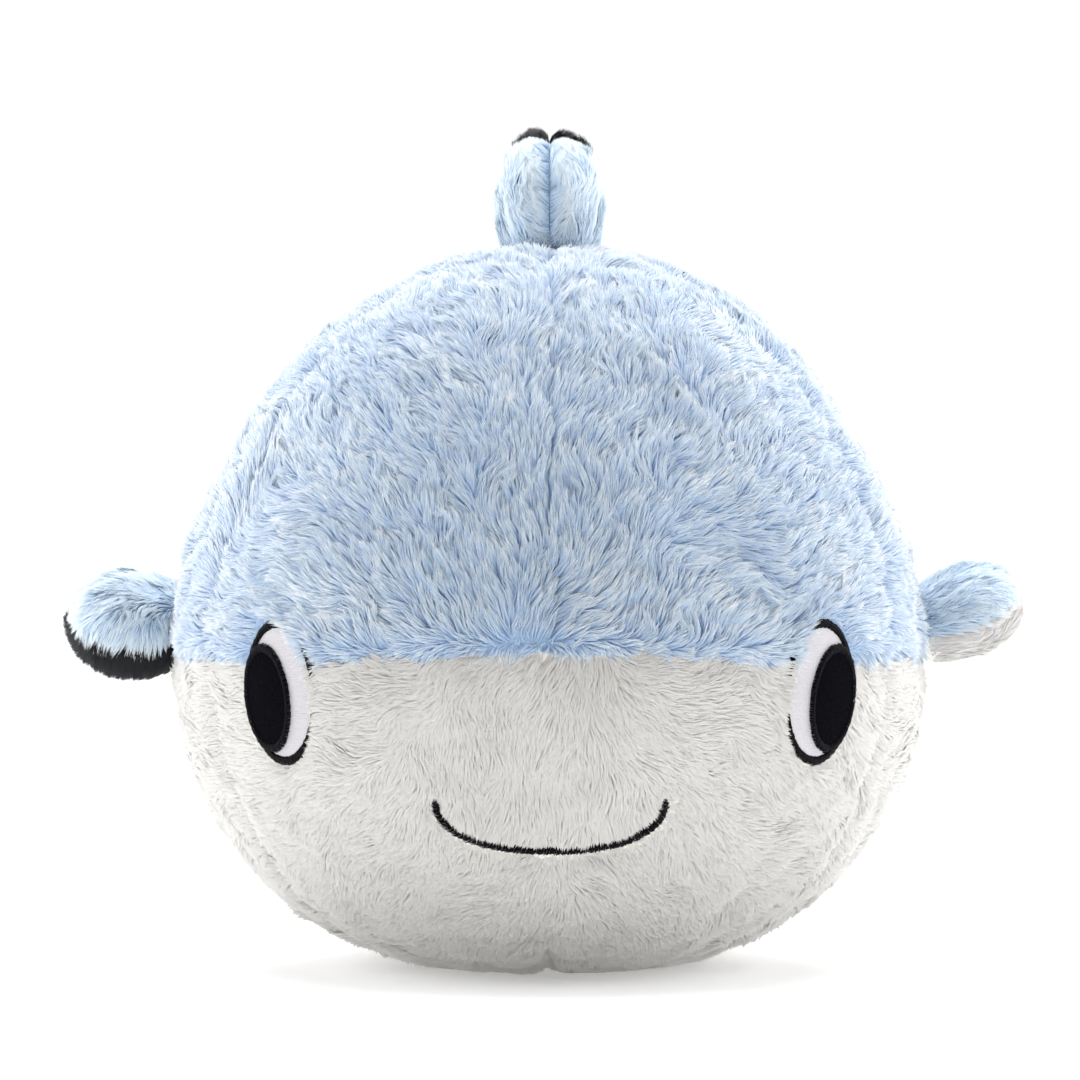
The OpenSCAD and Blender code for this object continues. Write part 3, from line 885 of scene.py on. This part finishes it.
class Fin:
    """A sewn fin: its joint, its body and the three directions out, along the chord and through.

    In millimetres, inset and tip_inset are how far the skin lies inside the shape on its faces and
    at its tip, ridge how far the front seam is drawn in, and fringe how much longer the pile is at
    the front edge. The last argument is painted light: it is added to the tone of its pile, so the
    pile looks paler where the lamps leave the fin in shade."""

    # By default the fins' pile gets painted light: its tone is raised so that it looks paler in shade.
    def __init__(self, body, joint, shape, out, chord, through,
                 inset, tip_inset=3, ridge=0.0, fringe=0.0, painted_light_tone=0.42):
        self.body = body
        self.shape = shape
        self.inset = inset
        self.tip_inset = tip_inset
        self.ridge = ridge
        self.fringe = fringe
        self.painted_light_tone = painted_light_tone
        self.origin = np.array(joints[joint]["pos_m"])
        self.axes = np.array([out, chord, through], float)

    def world(self, out, chord, through):
        return self.origin + np.stack([out, chord, through], -1) * MM @ self.axes

    def place(self, piece):
        """Bakes the piece's placement into its mesh."""
        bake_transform(piece)

    def face(self, side, start_at, end_at, rows, cols=31):
        """Grid of one face of the fin, with its seam drawn in and a few soft lumps.

        start_at and end_at are the shares of the reach, at the front and at the rear edge,
        between which the panel runs: -1 is the end of the neck and 1 the tip."""
        across = np.linspace(-math.pi / 2, math.pi / 2, cols)[None, :]
        lean = (1 + np.sin(across)) / 2
        start = start_at[0] + (start_at[1] - start_at[0]) * lean
        end = end_at[0] + (end_at[1] - end_at[0]) * lean
        along = start + (end - start) * np.linspace(0, 1, rows)[:, None]
        across = across * np.ones_like(along)
        out, chord, thick = fin_local(self.shape, across, along, self.inset, self.tip_inset)
        drawn = self.ridge * np.exp(-((thick / RIDGE_W) ** 2)) * (along > 0)
        size = np.hypot(out, chord) + 1e-6
        out, chord = out * (1 - drawn / size), chord * (1 - drawn / size)
        points = self.world(out, chord, side * thick)
        normals = grid_normals(points)
        middle = self.world(out, chord, 0 * thick)
        facing = ((points - middle) * normals).sum()
        normals = normals * np.sign(facing)
        flat = points.reshape(-1, 3)
        lump = (0.5 * waves(flat, 30 * MM, 41) + 0.3 * waves(flat, 14 * MM, 42)).reshape(along.shape)
        seam = np.abs(np.cos(across)) ** 0.5
        points = points + normals * (lump * seam * MM)[..., None]
        faces = grid_faces(*along.shape)
        if facing < 0:
            faces = faces[:, ::-1]
        return points.reshape(-1, 3), normals.reshape(-1, 3), faces

    def nap(self, points, normals, side):
        """Brushed from the root to the tip, spreading a little, and off the ridge of the seam."""
        out, chord, through = ((points - self.origin) @ self.axes.T).T
        way = self.axes[0] + self.axes[1] * chord[:, None] * 9
        near = np.exp(-((through / (RIDGE_W * 1.6 * MM)) ** 2))[:, None] * (self.ridge > 0)
        way = way + near * side * self.axes[2] * 1.2
        front = smooth_step(-chord / (self.shape[1] * MM), 0.35, 0.85)[:, None] * (self.fringe > 0)
        way = way * (1 - 0.7 * front) - front * self.axes[2] * 1.5
        flow = tangent(way, normals)
        return turned(flow, normals, 0.25 * waves(points, 30 * MM, 43) + 0.25 * waves(points, 10 * MM, 44))

    def limit(self, points, end_at):
        """Short pile on the neck, where it meets the body's own, and below another colour."""
        reach, half = self.shape[:2]
        out = (points - self.origin) @ self.axes[0]
        front = smooth_step(-(points - self.origin) @ self.axes[1] / (half * MM), 0.35, 0.85)
        longest = FIN_PILE_L * 1.1 + self.fringe * MM * front
        neck = longest * smooth_step(out, -1.2 * self.shape[2] * MM, -0.5 * self.shape[2] * MM)
        if end_at == TO_TIP:
            tip = smooth_step(out, (reach - 16) * MM, (reach - 5) * MM)
            return neck * (1 - 0.35 * tip)
        lean = np.clip(((points - self.origin) @ self.axes[1] / MM - 8) / half * 0.5 + 0.5, 0, 1)
        edge = np.sin((end_at[0] + (end_at[1] - end_at[0]) * lean) * math.pi / 2)
        edge = edge * (reach - self.tip_inset) * MM
        return np.minimum(neck, np.maximum(edge - out, 0) * 0.9 + 2.5 * MM)

    def add_face(self, node, side, colour, seed, start_at=FROM_NECK, end_at=TO_TIP, rows=34):
        """One face's skin and pile."""

        def nap(points, normals):
            return self.nap(points, normals, side)

        def limit(points):
            return self.limit(points, end_at)

        surface = self.face(side, start_at, end_at, rows)
        add_skin(f"{node}_skin", surface, colour, node, self.place)
        kind = dict(FIN_PILE)
        if colour == "black":
            kind.update(locks=((6 * MM, 0.4), (3.0 * MM, 0.7)), lean=(0.7, 1.25))
        if self.fringe and colour == "blue_painted_lit":
            kind.update(length=FIN_PILE_L + self.fringe * MM, locks=((7 * MM, 0.45), (3.2 * MM, 0.55)))
        grow_pile(f"{node}_pile", surface, nap, colour, self.place, limit, seed, painted_light_tone=self.painted_light_tone, **kind)

    def add_filling(self, node):
        cols, rows = 24, 14
        angle = np.linspace(0, 2 * math.pi, cols + 1)[None, :-1]
        along = np.linspace(-0.2, 0.88, rows)[:, None]
        side = np.where(np.cos(angle) < 0, -1, 1)
        across = np.arcsin(np.sin(angle)) * np.ones_like(along)
        out, chord, thick = fin_local(self.shape, across, along * np.ones_like(angle), FIN_CLOTH_T + 1)
        points = self.world(out, chord, side * np.where(np.cos(across) < 0.05, 0, thick)).reshape(-1, 3)
        middle = self.world(out, chord, 0 * thick).reshape(-1, 3)
        points = points + (middle - points) * (0.08 + 0.06 * waves(points, 12 * MM, 45))[:, None]
        add_filling(f"{self.body}_filling", points, rows, cols, node, self.body, 0.8)


def pectoral_axes(pitch, lift, mirror):
    turn = Matrix.Rotation(math.radians(pitch), 3, "X") @ Matrix.Rotation(-math.radians(lift), 3, "Y")
    axes = [np.array(turn @ Vector(v)) for v in ((1, 0, 0), (0, 1, 0), (0, 0, 1))]
    return [axis * np.array([-1 if mirror else 1, 1, 1]) for axis in axes]


def build_fins():
    # The fins' tops wear the paler blue pile, painted light on faces that the lamps leave in shade.
    left = Fin("left_fin", "left_fin_flap", PECTORAL, *pectoral_axes(11, 18, False),
               inset=0.8, tip_inset=5)
    left.add_face("left_fin_top", 1, "blue_painted_lit", 201)
    # The left fin's underside wears the paler white pile: painted bounce light from the floor.
    left.add_face("left_fin_underside", -1, "white_painted_bounce", 202)
    left.add_filling("left_fin_stuffing")
    right = Fin("right_fin", "right_fin_flap", PECTORAL, *pectoral_axes(15, 5, True),
                inset=-0.8, tip_inset=1, fringe=1.0)
    right.add_face("right_fin_top", 1, "blue_painted_lit", 203)
    right.add_face("right_fin_underside", -1, "black", 204)
    right.add_filling("right_fin_stuffing")
    slope = math.radians(5)
    up, back = (0, math.sin(slope), math.cos(slope)), (0, math.cos(slope), -math.sin(slope))
    # The dorsal fin's pile gets more painted light in its tone than the side fins'.
    dorsal = Fin("dorsal_fin", "dorsal_fin_lean", DORSAL, up, back, (1, 0, 0),
                 inset=0.2, tip_inset=-2.0, ridge=3.2, painted_light_tone=0.65)
    tip = (0.68, 0.26)
    for number, (side, name) in enumerate(((1, "left"), (-1, "right"))):
        dorsal.add_face(f"dorsal_fin_{name}", side, "blue_painted_lit", 205 + number, end_at=tip)
        dorsal.add_face(f"dorsal_tip_{name}", side, "black", 207 + number, start_at=tip, rows=14)
    dorsal.add_filling("dorsal_fin_stuffing")
    tail = Fin("tail_fin", "tail_wag", TAIL, (0, 1, 0), (0, 0, 1), (1, 0, 0), inset=2)
    tail.add_face("tail_fin_left", 1, "blue", 209, rows=44)
    tail.add_face("tail_fin_right", -1, "blue", 210, rows=44)
    tail.add_filling("tail_fin_stuffing")


# ---- Stitched face ----

THREAD_W = 0.42 * MM


def satin_stitches(name, outer, inner, normals, base, rise, node, seed, slant=0.0,
                   material=thread_black):
    """Side-by-side threads, each arched from the outer edge of a band to the inner one."""
    rng = np.random.default_rng(seed)
    count = len(outer)
    outer = outer + (outer - inner) * (0.10 * rng.uniform(-1, 1.4, count))[:, None]
    inner = inner - (outer - inner) * (0.06 * rng.uniform(-1, 1, count))[:, None]
    run = unit(np.gradient((outer + inner) / 2, axis=0))
    inner = inner + run * slant
    rows = np.array([0.0, 0.10, 0.32, 0.68, 0.90, 1.0])
    height = np.array([-0.6, 0.35, 0.92, 1.0, 0.45, -0.5])
    cross = np.array([-1.0, -0.55, 0.55, 1.0])
    drop = np.array([-0.30, 0.0, 0.0, -0.30])
    lift = base + rise * height[None, :] * rng.uniform(0.9, 1.08, count)[:, None]
    line = outer[:, None, :] + (inner - outer)[:, None, :] * rows[None, :, None]
    line = line + normals[:, None, :] * lift[..., None]
    half = THREAD_W * 0.62 * rng.uniform(0.85, 1.15, count)
    aside = (half[:, None, None] * cross[None, None, :])[..., None]
    grid = line[:, :, None, :] + run[:, None, None, :] * aside
    grid = grid + normals[:, None, None, :] * (THREAD_W * drop)[None, None, :, None]
    cell = grid_faces(len(rows), len(cross))
    faces = (cell[None] + (np.arange(count) * len(rows) * len(cross))[:, None, None]).reshape(-1, 4)
    piece = add_piece(name, grid.reshape(-1, 3), faces, material, rides("body"), node)
    set_attribute(piece.data, "tone", np.repeat(rng.uniform(size=count), len(rows) * len(cross)))


def oval_at(oval, less, angles):
    """Front view of an oval that leans outward at its top, shrunk by a width."""
    cx, cz, half_w, half_h, tilt = oval
    u = (half_w - less * half_w / half_h) * np.cos(angles)
    w = (half_h - less) * np.sin(angles)
    return cx + u * math.cos(tilt) + w * math.sin(tilt), cz - u * math.sin(tilt) + w * math.cos(tilt)


def oval_edge(side, oval, less, angles):
    x, z = oval_at(oval, less, angles)
    return face_points(side * x, z)


def oval_rim(name, side, oval, base, node, seed):
    _, _, half_w, half_h, _ = oval
    around = math.pi * (half_w / 0.75 + half_h) * 1.02
    angles = np.linspace(0, 2 * math.pi, int(around / THREAD_W * 0.92), endpoint=False)
    inner = oval_edge(side, oval, RIM_W, angles)
    outer = oval_edge(side, oval, 0, angles)
    middle = (inner + outer) / 2
    satin_stitches(name, outer, inner, face_normals(middle), base, 1.2 * MM, node, seed)


def oval_cloth(name, side, oval, less, out, ridge, material, node):
    """Patch of cloth inside a rim, in rows up the oval, with ridge(x, z, share) worked into it."""
    rows, cols = 260, 25
    angle = np.linspace(-0.497, 0.497, rows)[:, None] * math.pi
    across = np.linspace(1, -1, cols)[None, :]
    x_edge, z_edge = oval_at(oval, less, angle)
    x_other, z_other = oval_at(oval, less, math.pi - angle)
    x = (x_edge * (1 + across) + x_other * (1 - across)) / 2
    z = (z_edge * (1 + across) + z_other * (1 - across)) / 2
    share = np.hypot(np.sin(angle), np.cos(angle) * across)
    flat = face_points(side * x, z, out)
    flat = (flat + face_normals(flat) * ridge(x, z, share)[..., None]).reshape(-1, 3)
    faces = grid_faces(rows, cols)
    if side > 0:
        faces = faces[:, ::-1]
    add_piece(name, flat, faces, material, rides("body"), node)


RIB_PITCH = 1.15 * MM
RIB_H = 0.07 * MM


def ribs(x, z, share):
    return RIB_H * np.sin(2 * math.pi * (z + 0.06 * x) / RIB_PITCH) * (1 - share**8)


def felt(x, z, share):
    place = np.stack([x, 0 * x, z], -1).reshape(-1, 3)
    dome = 0.5 * MM * (1 - share**2)
    return dome + 0.07 * MM * waves(place, 1.6 * MM, 51).reshape(x.shape)


def satin_material():
    """White satin with fine ribs, faintly pink."""
    material, nodes, links, shader = new_material("ribbed_satin")
    stops = [(0.35, (0.49, 0.475, 0.505)), (0.65, (0.53, 0.515, 0.545))]
    colour_by(nodes, links, noise_at(nodes, links, 1.2 * MM, 3), stops)
    set_inputs(shader, Roughness=0.45, Specular_IOR_Level=0.3)
    return material


def build_face():
    satin = satin_material()
    felt_black = cloth_material("felt", (0.001, 0.001, 0.002), (0.003, 0.003, 0.005), 0.9 * MM)
    set_inputs(felt_black.node_tree.nodes["Principled BSDF"], Specular_IOR_Level=0.03)
    pupil = (*front_view("left_pupil_rim"), PUPIL_TILT)
    eye = (EYE_X, EYE_Z, EYE_HALF_W, EYE_HALF_H, EYE_TILT)
    for side, name in ((1, "left"), (-1, "right")):
        oval_cloth(f"{name}_eye_satin", side, eye, RIM_W * 0.7, 0.1 * MM, ribs,
                   satin, f"{name}_eye_white")
        oval_rim(f"{name}_eye_stitches", side, eye, 0.0 * MM, f"{name}_eye_rim", 61 + side)
        oval_cloth(f"{name}_pupil_felt", side, pupil, RIM_W * 0.6, 1.4 * MM, felt,
                   felt_black, f"{name}_pupil")
        oval_rim(f"{name}_pupil_stitches", side, pupil, 1.1 * MM, f"{name}_pupil_rim", 71 + side)
    build_smile()


def build_smile():
    fine = np.linspace(0, math.pi, 2000)
    x, z = mouth_curve(fine)
    run = np.concatenate([[0], np.cumsum(np.hypot(np.diff(x), np.diff(z)))])
    count = int(run[-1] / THREAD_W * 0.92)
    angles = np.interp(np.linspace(0, run[-1], count), run, fine)
    half = MOUTH_W * 0.46 * np.minimum(1, 0.35 + 9 * np.sin(angles))
    outer = face_points(*mouth_curve(angles, half))
    inner = face_points(*mouth_curve(angles, -half))
    normals = face_normals((outer + inner) / 2)
    satin_stitches("smile_stitches", outer, inner, normals, 0.2 * MM, 1.4 * MM,
                   "mouth_embroidery", 81, slant=1.2 * MM)


# ---- Closing stitch and label ----

CLOSING_STITCHES = 10
CLOSING_TURNS = np.radians(-156 + 1.6 * np.arange(CLOSING_STITCHES))
LABEL_W, LABEL_L = 24 * MM, 44 * MM


def build_closing_stitch():
    """Short threads laid over the seam where the filling went in."""
    level = np.ones(CLOSING_STITCHES)
    upper = body_points(CLOSING_TURNS, level * math.radians(1.2), 0.4 * MM)
    lower = body_points(CLOSING_TURNS + math.radians(0.5), level * math.radians(-1.6), 0.4 * MM)
    normals = unit((upper + lower) / 2 - np.array([0, MID_Y, SEAM_Z]))
    satin_stitches("closing_threads", upper, lower, normals, 0.8 * MM, 1.0 * MM, "closing_stitch", 91,
                   material=thread_white)


def ribbon_material():
    """Woven satin ribbon: a fine weave in its own colour."""
    material, nodes, links, shader = new_material("woven_ribbon")
    wave = nodes.new("ShaderNodeTexWave")
    wave.bands_direction = "Z"
    set_inputs(wave, Scale=1 / (3 * MM), Distortion=0.4)
    links.new(nodes.new("ShaderNodeTexCoord").outputs["Object"], wave.inputs["Vector"])
    stops = [(0.2, (0.46, 0.46, 0.45)), (0.8, (0.60, 0.60, 0.58))]
    colour_by(nodes, links, wave.outputs["Fac"], stops)
    set_inputs(shader, Roughness=0.4)
    return material


def build_label():
    """A blank ribbon sewn into the seam, hanging straight with a slight curl."""
    hinge = np.array(joints["label_flap"]["pos_m"])
    along = np.array(joints["label_flap"]["axis"])
    outward = np.array([-along[1], along[0], 0.0])
    outward *= np.sign(outward @ (hinge - np.array([0, MID_Y, SEAM_Z])))
    across = np.linspace(-1, 1, 13)[None, :]
    down = np.linspace(0, 1, 23)[:, None]
    curl = 0.5 * MM * np.sin(down * 5) * down + 0.35 * MM * across**2 * down
    points = (
        hinge
        + along * (across * LABEL_W / 2 + 0 * down)[..., None]
        + np.array([0, 0, -1.0]) * (down * LABEL_L + 0 * across)[..., None]
        + outward * (curl + 0 * across)[..., None]
    )
    faces = grid_faces(*points.shape[:2])
    flat = points.reshape(-1, 3)
    piece = add_piece("ribbon_label", flat, faces, ribbon_material(), rides("label"), "care_label")


build_body()
build_fins()
build_face()
build_closing_stitch()
build_label()


# ---- Camera, light and floor ----

CAMERA_D = 2.0
CAMERA_Z = 210 * MM
CAMERA_X = -4.7 * MM
VIEW_W = 536.8 * MM
SENSOR_W = 36.0


def add_camera():
    data = bpy.data.cameras.new("camera")
    data.sensor_width = SENSOR_W
    data.lens = SENSOR_W * CAMERA_D / VIEW_W
    camera = new_object("camera", data)
    camera.location = (CAMERA_X, MID_Y - CAMERA_D, CAMERA_Z)
    camera.rotation_euler = (math.radians(90), 0, 0)
    bpy.context.scene.camera = camera


def add_soft_light(name, azimuth, elevation, strength, softness):
    """A large, distant softbox: azimuth 0 is in front of the face and 90 on the shark's left."""
    data = bpy.data.lights.new(name, "SUN")
    data.energy = strength
    data.angle = math.radians(softness)
    a, e = math.radians(azimuth), math.radians(elevation)
    place = Vector((math.sin(a) * math.cos(e), -math.cos(a) * math.cos(e), math.sin(e)))
    new_object(name, data).rotation_euler = place.to_track_quat("Z", "Y").to_euler()


FLOOR_GLOW = 0.28


def add_floor():
    size = 40.0
    corners = [(-size, -size, 0), (size, -size, 0), (size, size, 0), (-size, size, 0)]
    floor = make_mesh("floor", corners, [(0, 1, 2, 3)])
    material, nodes, links, shader = new_material("floor_paper")
    stops = [(0.3, (0.92, 0.92, 0.92)), (0.7, (0.95, 0.95, 0.95))]
    colour_by(nodes, links, noise_at(nodes, links, 3 * MM), stops)
    set_inputs(shader, Roughness=0.9, Emission_Color=(1, 1, 1, 1), Emission_Strength=FLOOR_GLOW)
    floor.data.materials.append(material)


AMBIENT = 0.23


def light_scene():
    """Even white surroundings, dimmer as a light source than they look, and large soft lamps."""
    world = bpy.data.worlds.new("white_room")
    world.use_nodes = True
    nodes, links = world.node_tree.nodes, world.node_tree.links
    seen = nodes["Background"]
    set_inputs(seen, Color=(1, 1, 1, 1))
    strength = nodes.new("ShaderNodeMapRange")
    set_inputs(strength, To_Min=AMBIENT, To_Max=1.05)
    links.new(nodes.new("ShaderNodeLightPath").outputs["Is Camera Ray"], strength.inputs["Value"])
    links.new(strength.outputs["Result"], seen.inputs["Strength"])
    bpy.context.scene.world = world
    add_soft_light("top_softbox", 180, 72, 4.2, 60)
    add_soft_light("left_softbox", 105, 18, 2.95, 62)
    add_soft_light("right_softbox", -105, 18, 2.95, 62)
    bpy.context.scene.view_settings.view_transform = "Standard"


add_camera()
add_floor()
light_scene()
